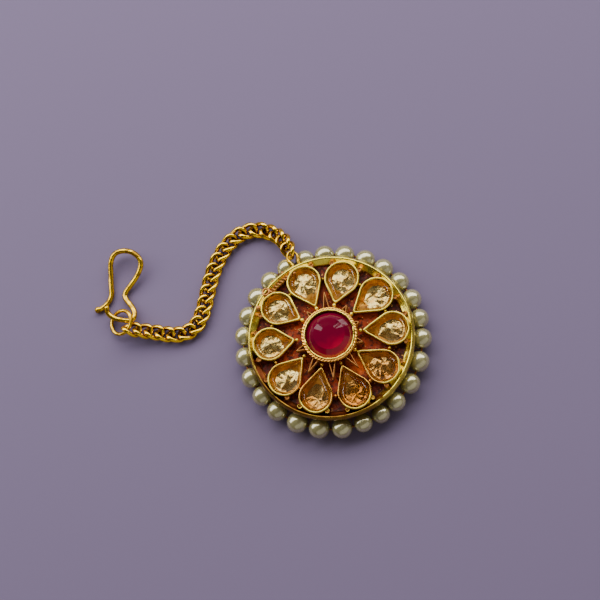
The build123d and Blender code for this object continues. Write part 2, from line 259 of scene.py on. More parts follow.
class TikkaChain(bpy.types.PropertyGroup):
    """Curb chain and jump ring."""
    links: IntProperty(name="Links", description="Number of links", default=22, min=2)
    wire: length("Wire", "Radius of the links' wire", 0.345)
    flatten: FloatProperty(name="Flatten", description="Width of the wire over its height",
                           default=1.18, min=0.5, max=2)
    half_length: length("Half length", "Half the length of a link's middle line", 1.5)
    half_width: length("Half width", "Half the width of a link's middle line", 1.1)
    twist: length("Twist", "Rise of the wire at the four corners of a link", 0.53)
    end_roll: angle("End roll", "Roll of the end links", 28.5)
    roll_links: FloatProperty(name="Roll links", description="Links over which the roll fades",
                              default=4.5, min=0.1)
    ring: length("Jump ring", "Radius of the jump ring's middle line", 2.15)
    ring_wire: length("Ring wire", "Radius of the jump ring's wire", 0.325)


class TikkaHook(bpy.types.PropertyGroup):
    """Wire hook."""
    wire: length("Wire", "Radius of the hook's wire", 0.475)
    ball: length("Ball", "Radius of the ball at the free end", 0.6)


class TikkaStage(bpy.types.PropertyGroup):
    """Floor, lights and camera."""
    floor: colour("Floor", "Colour of the floor", (0.18, 0.139, 0.25))
    floor_grain: colour("Floor grain", "Colour of the floor's grain", (0.154, 0.119, 0.217))
    sky: colour("Sky", "Colour of the light from all around", (0.80, 0.76, 0.76))
    sky_strength: FloatProperty(name="Sky strength", description="Strength of that light",
                                default=0.07, min=0)
    light_distance: length("Light distance", "Distance from the lights to the part", 350)
    elevation: angle("Elevation", "Height of the camera over the horizon", 74)
    azimuth: angle("Azimuth", "Turn of the camera about the vertical", 2.4)
    roll: angle("Roll", "Roll of the camera about its own axis", 28)
    distance: length("Distance", "Distance from the camera to what it looks at", 300)
    lens: FloatProperty(name="Lens", description="Focal length in millimetres on a 36 mm sensor",
                        default=101.7, unit="CAMERA")
    key: FloatProperty(name="Key light", description="Power of the wide light behind the bail",
                       default=6.4, min=0, unit="POWER")
    front: FloatProperty(name="Front light", description="Power of the low light before the face",
                         default=0.42, min=0, unit="POWER")


# ---- node trees --------------------------------------------------------------------------------

class Number:
    """A socket that gives a number, with the operators that the formulas below use."""

    def __init__(self, nodes, socket):
        self.nodes, self.socket = nodes, socket

    def math(self, operation, *values):
        return self.nodes.node("ShaderNodeMath", {"operation": operation},
                               dict(enumerate(values)))

    def __add__(self, other): return self.math("ADD", self, other)
    def __radd__(self, other): return self.math("ADD", other, self)
    def __sub__(self, other): return self.math("SUBTRACT", self, other)
    def __rsub__(self, other): return self.math("SUBTRACT", other, self)
    def __mul__(self, other): return self.math("MULTIPLY", self, other)
    def __rmul__(self, other): return self.math("MULTIPLY", other, self)
    def __truediv__(self, other): return self.math("DIVIDE", self, other)
    def __rtruediv__(self, other): return self.math("DIVIDE", other, self)
    def __pow__(self, other): return self.math("POWER", self, other)

    def most(self, other): return self.math("MAXIMUM", self, other)

    def band(self, start, full, fade, end):
        """0, then 1 from full to fade, then 0 again."""
        return self.rise(start, full) * (1 - self.rise(fade, end))

    def rise(self, low, high):
        """0 below low, 1 above high and a smooth step between."""
        return self.nodes.node("ShaderNodeMapRange", {"interpolation_type": "SMOOTHSTEP"},
                               {"Value": self, "From Min": low, "From Max": high})


class Nodes:
    """Adds nodes to a tree. A node's inputs are numbers, tuples or other nodes' sockets."""

    def __init__(self, tree):
        self.tree = tree

    def node(self, kind, settings=None, inputs=None, output=0):
        """A new node; settings are set first, and output names the socket that is given back."""
        made = self.tree.nodes.new(kind)
        for key, value in (settings or {}).items():
            setattr(made, key, value)
        for key, value in (inputs or {}).items():
            self.feed(self.socket(made.inputs, key), value)
        return Number(self, self.socket(made.outputs, output)) if made.outputs else None

    @staticmethod
    def socket(sockets, key):
        if isinstance(key, int):
            return sockets[key]
        for socket in sockets:
            if socket.identifier == key:
                return socket
        return sockets[key]

    def feed(self, socket, value):
        if isinstance(value, Number):
            self.tree.links.new(value.socket, socket)
        elif socket.type == "RGBA" and len(value) == 3:
            socket.default_value = (*value, 1)
        else:
            socket.default_value = value

    def output_of(self, number, key):
        """Another output of the node that a number comes from."""
        return Number(self, self.socket(number.socket.node.outputs, key))

    def blend(self, factor, first, second):
        """Mix of two colours."""
        return self.node("ShaderNodeMix", {"data_type": "RGBA"},
                         {"Factor_Float": factor, "A_Color": first, "B_Color": second},
                         "Result_Color")

    def vector(self, operation, *values, output=0):
        return self.node("ShaderNodeVectorMath", {"operation": operation},
                         dict(enumerate(values)), output)

    def xyz(self, x, y, z):
        return self.node("ShaderNodeCombineXYZ", None, {0: x, 1: y, 2: z})


class Finish(Nodes):
    """A material with one shader, whose patterns are laid out in the object's own space."""

    def __init__(self, name):
        self.material = bpy.data.materials.new(name)
        self.material.use_nodes = True
        super().__init__(self.material.node_tree)
        self.tree.nodes.clear()
        self.place = self.node("ShaderNodeTexCoord", output="Object")
        split = self.node("ShaderNodeSeparateXYZ", None, {0: self.place})
        self.x, self.y, self.z = (self.output_of(split, axis) / MM for axis in "XYZ")

    def away(self, x=0.0, y=0.0):
        """Distance in millimetres from the upright line through a point."""
        across, along = self.x - x, self.y - y
        return (across * across + along * along) ** 0.5

    def carried(self, label):
        """A number that the mesh's points carry."""
        return self.node("ShaderNodeAttribute", {"attribute_name": label}, None, "Fac")

    def grain(self, size, detail=2.0, shift=0.0, warp=0.0):
        """Noise from 0 to 1 with grains of a size in millimetres."""
        place = self.vector("ADD", self.place, (shift * MM, 0, 0)) if shift else self.place
        return self.node("ShaderNodeTexNoise", {"noise_dimensions": "3D"},
                         {"Vector": place, "Scale": 1 / (size * MM), "Detail": detail,
                          "Distortion": warp})

    def cells(self, size, feature="F1"):
        """Distance to scattered points that are about a size in millimetres apart."""
        return self.node("ShaderNodeTexVoronoi", {"feature": feature},
                         {"Vector": self.place, "Scale": 1 / (size * MM)})

    def bump(self, height, depth, strength=1.0, under=None):
        """Bent normal from a height of 0 to 1 that stands for a depth in millimetres."""
        inputs = {"Height": height, "Distance": depth * MM, "Strength": strength}
        if under is not None:
            inputs["Normal"] = under
        return self.node("ShaderNodeBump", None, inputs)

    def finish(self, **inputs):
        """Closes the material with one Principled shader; names use _ for a space."""
        named = {key.replace("_", " ").replace("level", "Level"): value
                 for key, value in inputs.items()}
        shader = self.node("ShaderNodeBsdfPrincipled", None, named)
        self.node("ShaderNodeOutputMaterial", None, {"Surface": shader})
        return self.material


class Recipe(Nodes):
    """A Geometry Nodes tree with named inputs, which ends in real mesh with one material."""

    def __init__(self, name, **inputs):
        super().__init__(bpy.data.node_groups.new(name, "GeometryNodeTree"))
        self.tree.is_modifier = True
        face = self.tree.interface
        face.new_socket("Geometry", in_out="OUTPUT", socket_type="NodeSocketGeometry")
        face.new_socket("Geometry", in_out="INPUT", socket_type="NodeSocketGeometry")
        self.values = {}
        for label, value in {**inputs, "Material": None}.items():
            kind = ("Material" if value is None else "Int" if isinstance(value, int)
                    else "Float" if isinstance(value, float) else "Object")
            socket = face.new_socket(label.replace("_", " "), in_out="INPUT",
                                     socket_type="NodeSocket" + kind)
            self.values[socket.identifier] = value
        self.source = self.tree.nodes.new("NodeGroupInput")

    def given(self, label):
        """One of the tree's named inputs."""
        return Number(self, self.source.outputs[label.replace("_", " ")])

    def shape_of(self, label):
        """Geometry of an object that is a named input."""
        return self.node("GeometryNodeObjectInfo", None, {"Object": self.given(label)},
                         "Geometry")

    def close(self, geometry):
        """Ends the tree in real mesh with the given material."""
        real = self.node("GeometryNodeRealizeInstances", None, {"Geometry": geometry})
        shown = self.node("GeometryNodeSetMaterial", None,
                          {"Geometry": real, "Material": self.given("Material")})
        self.node("NodeGroupOutput", None, {0: shown})

    def apply(self, obj, material):
        """Runs the tree on an object and leaves its result as the object's plain mesh."""
        modifier = obj.modifiers.new(self.tree.name, "NODES")
        modifier.node_group = self.tree
        for identifier, value in self.values.items():
            modifier[identifier] = material if value is None else value
        graph = bpy.context.evaluated_depsgraph_get()
        mesh = bpy.data.meshes.new_from_object(obj.evaluated_get(graph), depsgraph=graph)
        obj.modifiers.remove(modifier)
        obj.data = mesh
        mesh.name = obj.name
        return obj


# ---- mesh --------------------------------------------------------------------------------------

def polar(radius, turn):
    """Point at a radius and an angle in degrees."""
    return np.array((radius * cos(radians(turn)), radius * sin(radians(turn))))


def around(steps):
    """Even angles round a circle, in radians."""
    return np.linspace(0, 2 * pi, steps, endpoint=False)


def circle(radius, steps, height=0.0, start=0.0):
    """Points round a circle, from an angle in degrees."""
    return [(*polar(radius, start + 360 * k / steps), height) for k in range(steps)]


def from_edge(radius, rows):
    """Profile points from rows of how far past a radius they lie, and their height."""
    return [(radius + out, height) for out, height in rows]


def grid_faces(rows, columns, close_rows=False):
    """Quads between closed rows of points that lie one after the other in a list."""
    faces = []
    for r in range(rows if close_rows else rows - 1):
        here, there = r * columns, (r + 1) % rows * columns
        for c in range(columns):
            n = (c + 1) % columns
            faces.append((here + c, here + n, there + n, there + c))
    return faces


def linked(name, data):
    """A new object in the scene."""
    obj = bpy.data.objects.new(name, data)
    bpy.context.scene.collection.objects.link(obj)
    return obj


def line_object(name, lines, closed=False):
    """Straight-sided curves through lists of points in millimetres, as one object."""
    curve = bpy.data.curves.new(name, "CURVE")
    curve.dimensions = "3D"
    for line in lines:
        spline = curve.splines.new("POLY")
        spline.points.add(len(line) - 1)
        spline.use_cyclic_u = closed
        for point, place in zip(spline.points, line):
            point.co = (*(Vector(place) * MM), 1)
    return linked(name, curve)


def lumps(point, size, seed=0.0):
    """Smooth noise of about -1 to 1 with lumps of a size in millimetres."""
    return noise.noise(Vector(point) / size + Vector((seed, seed * 1.7, 0)))


class Shape:
    """Points in millimetres and faces that add up to one mesh."""

    def __init__(self):
        self.points, self.faces, self.inks = [], [], []

    def add(self, points, faces, inks=None):
        """Points and faces of another part; inks are the faces' material numbers."""
        start = len(self.points)
        self.points += [tuple(p) for p in points]
        self.faces += [tuple(start + i for i in face) for face in faces]
        self.inks += inks or [0] * len(faces)

    def rows(self, rows, close_rows=False, poles=None):
        """Closed loops joined one to the next, with a fan over each open end."""
        columns = len(rows[0])
        points = [p for row in rows for p in row]
        faces = grid_faces(len(rows), columns, close_rows)
        if not close_rows:
            points += poles or (np.mean(rows[0], 0), np.mean(rows[-1], 0))
            last = (len(rows) - 1) * columns
            for c in range(columns):
                n = (c + 1) % columns
                faces += [(len(points) - 2, n, c), (len(points) - 1, last + c, last + n)]
        self.add(points, faces)

    def turned(self, profile, steps, wobble=lambda x, y, z: (x, y, z)):
        """Closed profile of (radius, height) spun about the upright axis."""
        self.rows([[wobble(r * cos(turn), r * sin(turn), z) for r, z in profile]
                   for turn in around(steps)], close_rows=True)

    def tube(self, line, radius, sides=16, closed=False):
        """Round wire along a line, with one radius or one for each point."""
        line = np.asarray(line, float)
        if closed:
            along = np.roll(line, -1, 0) - np.roll(line, 1, 0)
        else:
            along = np.gradient(line, axis=0)
        along /= np.linalg.norm(along, axis=1)[:, None]
        rows = []
        for i, (middle, heading) in enumerate(zip(line, along)):
            left = np.cross((0, 0, 1), heading)
            left /= np.linalg.norm(left)
            up = np.cross(heading, left)
            r = radius[i] if np.ndim(radius) else radius
            rows.append([middle + r * (cos(t) * left + sin(t) * up)
                         for t in around(sides)])
        self.rows(rows, close_rows=closed)

    def ball(self, centre, radius, rings=8, sides=14, stretch=(1, 1, 1)):
        """Ball with a point at each pole, stretched along the three axes."""
        centre, size = np.array(centre), radius * np.array(stretch)
        self.rows([[centre + size * (cos(lat) * cos(t), cos(lat) * sin(t), sin(lat))
                    for t in around(sides)]
                   for lat in np.linspace(-pi / 2, pi / 2, rings, endpoint=False)[1:]],
                  poles=(centre - (0, 0, size[2]), centre + (0, 0, size[2])))

    def mesh(self, name, materials=(), crease=35):
        """The shape as a mesh object in metres, with its faces turned outwards."""
        mesh = bpy.data.meshes.new(name)
        mesh.from_pydata([tuple(MM * v for v in p) for p in self.points], [], self.faces)
        mesh.polygons.foreach_set("material_index", self.inks)
        work = bmesh.new()
        work.from_mesh(mesh)
        bmesh.ops.remove_doubles(work, verts=work.verts, dist=0.0005 * MM)
        bmesh.ops.recalc_face_normals(work, faces=work.faces)
        work.to_mesh(mesh)
        work.free()
        if crease:
            mesh.shade_smooth()
            mesh.set_sharp_from_angle(angle=radians(crease))
        for material in materials:
            mesh.materials.append(material)
        return linked(name, mesh)


def dressed(obj, slot, *nodes):
    """Puts a finished piece on the body and hides the nodes it stands for; slot is not used."""
    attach(obj, "root")
    if nodes:
        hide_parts(*nodes)
    return obj


def smooth_line(points, count, headings=None):
    """Even steps along the smooth curve through points, which starts and ends along headings."""
    points = np.asarray(points, float)
    knots = np.concatenate(([0], np.cumsum(np.linalg.norm(np.diff(points, axis=0), axis=1))))
    n, gaps = len(points), np.diff(knots)
    slopes = np.diff(points, axis=0) / gaps[:, None]
    if headings is None:
        ends = [np.polyfit(knots[part] - end, points[part], 3)[2]
                for part, end in ((slice(0, 4), 0), (slice(n - 4, n), knots[-1]))]
    else:
        ends = [np.array(h, float) / np.linalg.norm(h) for h in headings]
    system, right = np.zeros((n, n)), np.zeros((n, 3))
    system[0, 0] = system[-1, -1] = 1
    right[0], right[-1] = ends
    for i in range(1, n - 1):
        system[i, i - 1:i + 2] = gaps[i], 2 * (gaps[i - 1] + gaps[i]), gaps[i - 1]
        right[i] = 3 * (gaps[i] * slopes[i - 1] + gaps[i - 1] * slopes[i])
    speed = np.linalg.solve(system, right)

    def at(k):
        i = min(int(np.searchsorted(knots, k, side="right")) - 1, n - 2)
        h, t = gaps[i], (k - knots[i]) / gaps[i]
        return ((1 + 2 * t) * (1 - t) ** 2 * points[i] + t * (1 - t) ** 2 * h * speed[i]
                + t * t * (3 - 2 * t) * points[i + 1] + t * t * (t - 1) * h * speed[i + 1])

    dense = np.array([at(k) for k in np.linspace(0, knots[-1], 40 * n)])
    run = np.concatenate(([0], np.cumsum(np.linalg.norm(np.diff(dense, axis=0), axis=1))))
    return np.stack([np.interp(np.linspace(0, run[-1], count), run, dense[:, a])
                     for a in range(3)], 1)


# ---- pears: frames and outlines ----------------------------------------------------------------

def pear_angle(index):
    """Direction of a pear, in degrees from +X, counted clockwise from the bail."""
    return 90 - 360 / len(PEARS) * index + PEARS[index].turn


def between_pears(index):
    """Direction midway between a pear and the next one, in degrees."""
    follower = (index + 1) % len(PEARS)
    turn = (pear_angle(follower) - pear_angle(index)) % 360
    return pear_angle(index) + (turn - 360) / 2


def pear_ends(index):
    """Middle of a pear's round end, its tip, its heading in radians and its reach."""
    row = PEARS[index]
    middle = polar(row.ring, pear_angle(index))
    tip = polar(row.tip, pear_angle(index) + row.lean)
    return middle, tip, atan2(*(middle - tip)[::-1]), hypot(*(middle - tip))


def in_pear(index, x, y):
    """Point in the medallion from one in a pear's own frame, whose +X points away from its tip."""
    middle, _, heading, _ = pear_ends(index)
    return (middle[0] + x * cos(heading) - y * sin(heading),
            middle[1] + x * sin(heading) + y * cos(heading))


def pear_loop(index):
    """Points round a pear's outline in its own frame, from one side of its tip to the other."""
    half, reach = PEARS[index].half, pear_ends(index)[3]
    start = pi / 2 + asin(half / reach)
    cut = 0.12      # share of the straight sides that the blunt tip takes
    tip = np.array((-reach, 0.0))

    def side(way, steps):
        shoulder = half * np.array((cos(start), way * sin(start)))
        return [tip + (shoulder - tip) * (cut + (1 - cut) * t) for t in steps]

    arc = [half * np.array((cos(a), sin(a))) for a in np.linspace(start, -start, 40)]
    return np.array([*side(1, np.linspace(0, 1, 12, endpoint=False)), *arc,
                     *side(-1, np.linspace(1, 0, 13)[1:]), tip + (reach * cut * 0.28, 0)])


def pearl_angle(index):
    """Direction of a pearl, in degrees: the bail leaves between the last one and the first."""
    return 90 - 360 / len(PEARLS) * (index % len(PEARLS) + 0.5) + PEARLS[index % len(PEARLS)][0]


def tie_angle(index):
    """Direction of the tie between a pearl and the next one, in degrees."""
    following = pearl_angle(index + 1) - 360 * (index + 1 == len(PEARLS))
    return (pearl_angle(index) + following) / 2


def seats_object(name, places, size=1.0, stretch=1.0, turn=0.0, spin=0.0, tone=0.5):
    """Points that carry what on_seats() reads: size, upright stretch, turn, spin and tone."""
    mesh = bpy.data.meshes.new(name)
    mesh.from_pydata([tuple(MM * v for v in p) for p in places], [], [])
    for label, values in (("size", size), ("stretch", stretch), ("turn", turn), ("spin", spin),
                          ("tone", tone)):
        values = np.broadcast_to(np.asarray(values, float), len(places))
        mesh.attributes.new(label, "FLOAT", "POINT").data.foreach_set("value", values.copy())
    return linked(name, mesh)


def on_seats(obj, seats, material, variation, seed):
    """Puts one copy of a mesh on each seat, and leaves the copies as the object's own mesh."""
    r = Recipe(obj.name + " on seats", Seats=seats, Variation=variation, Seed=seed)

    def carried(label):
        return r.node("GeometryNodeInputNamedAttribute", None, {"Name": label}, "Attribute")

    vary = r.node("FunctionNodeRandomValue", None,
                  {"Min_001": -1.0, "Max_001": 1.0, "Seed": r.given("Seed")}, "Value_001")
    wide = carried("size") * (1 + vary * r.given("Variation"))
    swing = r.node("FunctionNodeEulerToRotation", None,
                   {"Euler": r.xyz(carried("spin"), 0.0, carried("turn"))})
    r.close(r.node("GeometryNodeInstanceOnPoints", None, {
        "Points": r.shape_of("Seats"), "Instance": r.given("Geometry"), "Rotation": swing,
        "Scale": r.xyz(wide, wide, wide * carried("stretch"))}))
    r.apply(obj, material)
    bpy.data.objects.remove(seats)


# ---- finishes ----------------------------------------------------------------------------------

def made_once(name, group):
    """Turns a formula into a function that gives its material, made when first asked for."""
    def ready(formula):
        def material():
            return (bpy.data.materials.get(name)
                    or formula(Finish(name), getattr(bpy.context.scene, group)))
        return material
    return ready


@made_once("gold plate", "tikka_metal")
def gold_plate(f, metal):
    """Polished plate, browner and duller between the bezels, hammered round the rim.

    Painted shade browns it low down and on the side away from the light, among clouds of
    tarnished plate; painted light gives the crests a satin finish on the side towards the light.
    """
    radius = f.away()
    cloud, fine = f.grain(1.6, 3), f.grain(0.25, 2, shift=40)
    patches = f.grain(2.6, 1, shift=60).rise(0.42, 0.58)
    # ragged side of the rim away from the light, where shade is painted
    bevel_shade_side = ((cloud - 0.5) * 1.2 - (f.x * 0.72 + f.y * 0.7) / BEVEL_RADIUS).rise(0.35, 0.8)

    # where the plate is: on the bezels' crests, on the collar or on the rim's bevel
    crest = f.z.band(BEZEL_TOP - 0.18, BEZEL_TOP - 0.04, BEZEL_TOP + 0.2, BEZEL_TOP + 0.4)
    collar = (radius.band(COLLAR_RADIUS - 0.25, COLLAR_RADIUS - 0.15,
                          COLLAR_RADIUS + 0.3, COLLAR_RADIUS + 0.4)
              * f.z.rise(GROUND_TOP + 0.15, PEAR_GIRDLE))
    bevel = (radius.band(BEVEL_RADIUS - 0.1, BEVEL_RADIUS + 0.2, BEVEL_EDGE, BEVEL_EDGE + 0.15)
             * f.z.band(GROUND_TOP + 0.05, GROUND_TOP + 0.35, LIP_TOP - 0.05, LIP_TOP + 0.1))
    outside = radius.rise(BEVEL_RADIUS - 0.1, BEVEL_RADIUS + 0.3)

    # how clean and lit it is there: painted shade low down and on the side away from the light
    # painted shade on the bevel and the lip's outer flank, on that side
    bevel_shade = bevel_shade_side * bevel.most(radius.rise(BEVEL_EDGE - 0.05, BEVEL_EDGE + 0.1) * 0.5)
    # the -Y side of the setting, away from the light, where shade is painted on the crests
    shaded_side = ((0 - (f.x * 0.35 + f.y * 0.93) / 10).rise(0.0, 0.75)
            * (1 - radius.rise(BEVEL_RADIUS - 1.1, BEVEL_RADIUS - 0.5)))
    # crests keep their satin, less metallic finish only towards the light: painted light
    crest = crest * (1 - shaded_side * 0.9) * (0.55 + patches * 0.45)
    # lighter up the walls to their tops, browner low between the bezels: painted shade
    bright = (f.z.rise(GROUND_TOP + 0.15, LIP_TOP + 0.1)
              * (0.45 + f.z.rise(BEZEL_TOP - 0.2, BEZEL_TOP - 0.06) * 0.55))
    bright = bright.most(outside * 0.85).most(collar)
    bright = (bright - (1 - cloud.rise(0.35, 0.6)) * 0.18).most(0.0)
    bright = (bright - bevel_shade).most(0.0)

    polished = f.blend(crest * 0.85, metal.plate, CREST_GOLD)
    polished = f.blend(collar * 0.85, polished, COLLAR_GOLD)
    tint = f.blend(bright, metal.recess_shade_and_tarnish, polished)
    # random matt patches of wear, and painted shade on the side away from the light
    tint = f.blend((fine.rise(0.55, 0.8) * 0.25).most(shaded_side * 0.85), tint, WEAR_AND_SHADE_GOLD)
    # painted shade on the rim
    tint = f.blend(bevel_shade, tint, SHADE_BROWN)
    rough = metal.roughness + (1 - bright) * 0.1 + fine.rise(0.4, 0.8) * 0.08 + crest * 0.12
    hammered = f.bump(f.cells(1.7, "SMOOTH_F1") * bevel, 0.14)
    return f.finish(Base_Color=tint, Metallic=1 - crest * 0.12, Roughness=rough,
                    Normal=f.bump(fine, 0.02, 0.5, hammered))


@made_once("strip copper", "tikka_metal")
def strip_copper(f, metal):
    """Thin copper strip with a little gilt left below its top edge.

    Low down it takes the deep brown of the plate between the bezels, painted shade; above the
    lacquer it turns copper, the mend's colour and the painted shade of the dark claws.
    """
    cloud = f.grain(0.9, 2, shift=23)
    # painted shade low down; patches of gilt left along the top edge
    tint = f.blend(f.z.rise(4.25, 4.4) * cloud.rise(0.4, 0.55), metal.recess_shade_and_tarnish, STRIP_GILT)
    # copper above the lacquer: the mend's colour, and painted shade on the dark claws
    tint = f.blend(f.z.rise(4.7, 4.9), tint, COPPER_AND_CLAW_SHADE)
    return f.finish(Base_Color=tint, Metallic=0.7, Roughness=0.3 + cloud * 0.1)


@made_once("gold wire", "tikka_metal")
def gold_wire(f, metal):
    """Drawn wire, rubbed bright on its high sides and brown where fingers do not reach."""
    cloud, fine = f.grain(1.1, 3, warp=0.4), f.grain(0.18, 2, shift=17)
    worn = 0.22 + cloud.rise(0.32, 0.62) * 0.75
    tint = f.blend(worn, metal.tarnish_and_shade, metal.wire)
    rough = 0.34 - worn * 0.14 + fine.rise(0.4, 0.8) * 0.12
    return f.finish(Base_Color=tint, Metallic=1.0, Roughness=rough,
                    Normal=f.bump(fine, 0.03, 0.6, f.bump(cloud, 0.12, 0.5)))


@made_once("chain gold", "tikka_metal")
def chain_gold(f, metal):
    """Links rubbed bright on their open sides and brown where they lie against each other.

    The brown on their low and inner sides is painted shade as well as tarnished wire.
    """
    rub = f.carried("rub")
    cloud, fine = f.grain(1.4, 2), f.grain(0.2, 2, shift=17)
    # lighter on top and outside, darker under and inside: painted shade with tarnished wire
    lit_and_rubbed_side = (rub + (cloud - 0.5) * 0.5).rise(0.36, 0.78)
    tint = f.blend(lit_and_rubbed_side, metal.tarnish_and_shade, metal.wire)
    return f.finish(Base_Color=tint, Metallic=1.0,
                    Roughness=0.34 - lit_and_rubbed_side * 0.15 + fine.rise(0.4, 0.8) * 0.1,
                    Normal=f.bump(fine, 0.03, 0.6))


@made_once("back gilt", "tikka_metal")
def back_gilt(f, metal):
    """Plain gilt sheet with brush marks and scratches."""
    marks = f.node("ShaderNodeTexWave", {"wave_type": "BANDS", "bands_direction": "DIAGONAL"},
                   {"Vector": f.place, "Scale": 260.0, "Distortion": 14.0, "Detail": 4.0},
                   "Fac")
    cloud = f.grain(3.2, 3)
    tint = f.blend(cloud.rise(0.4, 0.7), metal.wire, metal.plate)
    rough = 0.3 + marks * 0.12 + cloud * 0.1
    return f.finish(Base_Color=tint, Metallic=1.0, Roughness=rough,
                    Normal=f.bump(marks, 0.03, 0.5))


@made_once("red lacquer", "tikka_stones")
def red_lacquer(f, stones):
    """Lumpy red lacquer with gilt crumbs pressed into it, and a painted pool of light."""
    cloud, fine = f.grain(1.3, 3), f.grain(0.3, 2, shift=9)
    crumbs = (1 - f.cells(0.42).rise(0.16, 0.3)) * f.grain(1.0, 1, shift=70).rise(0.5, 0.62)
    radius = f.away()
    patch = f.grain(3.4, 1, shift=31).rise(0.38, 0.56) * (1 - radius.rise(8.5, 11.0) * 0.8)
    # bright patch beside the collar, where its shadow falls: painted light
    painted_light = 1 - f.away(*PAINTED_LIGHT_PLACE).rise(0.9, 2.9)
    edge = radius.rise(9.8, 12.0)
    tint = f.blend(patch * 0.4 + cloud.rise(0.35, 0.68) * (0.3 - edge * 0.22), stones.ground,
                   LACQUER_CLOUD)
    tint = f.blend(painted_light, tint, LACQUER_PAINTED_LIGHT)
    specks = (f.grain(0.55, 2, shift=50) + edge * 0.08).rise(0.5, 0.64) * (0.85 - painted_light * 0.6)
    tint = f.blend(specks, tint, LACQUER_SPECK)
    tint = f.blend(crumbs, tint, CRUMB_GOLD)
    return f.finish(Base_Color=tint, Metallic=crumbs * 0.9, Roughness=0.42 + fine * 0.25,
                    Specular_IOR_level=0.25,
                    Normal=f.bump(crumbs, 0.08, 0.8, f.bump(fine, 0.12, 0.8)),
                    Coat_Weight=crumbs * 0.3)


@made_once("champagne glass", "tikka_stones")
def cut_glass(f, stones):
    """Clear tinted glass with faint smears."""
    smear = f.grain(0.9, 2)
    return f.finish(Base_Color=stones.champagne, Transmission_Weight=1.0, IOR=1.52,
                    Roughness=smear.rise(0.4, 0.8) * 0.05)


@made_once("ruby glass", "tikka_stones")
def ruby_glass(f, stones):
    """Deep red glass, a little brighter and redder towards -Y: painted light."""
    cloud, smear = f.grain(2.2, 2), f.grain(0.9, 2, shift=12)
    # brighter red towards -Y: painted light
    low = (0 - f.y / 4.2 + cloud * 0.8).rise(0.5, 1.5)
    return f.finish(Base_Color=f.blend(low, stones.ruby, stones.ruby_light),
                    Roughness=0.07 + smear * 0.06, Specular_IOR_level=0.3,
                    Coat_Weight=0.15, Coat_Roughness=0.03, Normal=f.bump(smear, 0.01, 0.3))


def foil(f, tint, deep, low_y_tint, metallic):
    """Crinkled bright foil behind a stone, browner behind the stones towards -Y."""
    cloud = f.grain(0.8, 2)
    low_y_share = (0 - f.y / 12 + (f.grain(5.0, 1, shift=3) - 0.5)).rise(0.1, 1.1)
    tint, deep = f.blend(low_y_share, tint, low_y_tint), f.blend(low_y_share, deep, low_y_tint)
    return f.finish(Base_Color=f.blend(cloud.rise(0.3, 0.7), deep, tint), Metallic=metallic,
                    Roughness=0.15 + cloud * 0.1,
                    Normal=f.bump(f.grain(0.45, 1, shift=6), 0.05, 0.8, f.bump(cloud, 0.05, 0.8)))


@made_once("pear foil", "tikka_stones")
def pear_foil(f, stones):
    return foil(f, stones.foil, FOIL_DEEP, FOIL_LOW_Y, 0.8)


@made_once("foil edge", "tikka_stones")
def foil_edge(f, stones):
    # darker, less metallic foil on the steep outer facets: painted shade round the stone's rim
    return foil(f, *EDGE_FOIL, 0.5)


@made_once("nacre", "tikka_pearls")
def nacre(f, pearls):
    """Imitation pearl: cloudy cream with a clear skin."""
    tone = f.carried("tone")
    cloud, fine = f.grain(1.2, 3), f.grain(0.12, 1, shift=5)
    tint = f.blend(cloud.rise(0.3, 0.7) * 0.5 + tone * 0.5, pearls.nacre, pearls.shade)
    return f.finish(Base_Color=tint, Metallic=0.5, Roughness=0.22 + cloud * 0.1,
                    Normal=f.bump(cloud, 0.06, 0.5, f.bump(fine, 0.006, 0.5)),
                    Coat_Weight=1.0, Coat_Roughness=0.07, Coat_IOR=2.35, Subsurface_Weight=0.1,
                    Subsurface_Radius=(0.6 * MM, 0.5 * MM, 0.35 * MM), Subsurface_Scale=1.0)


# ---- operators ---------------------------------------------------------------------------------

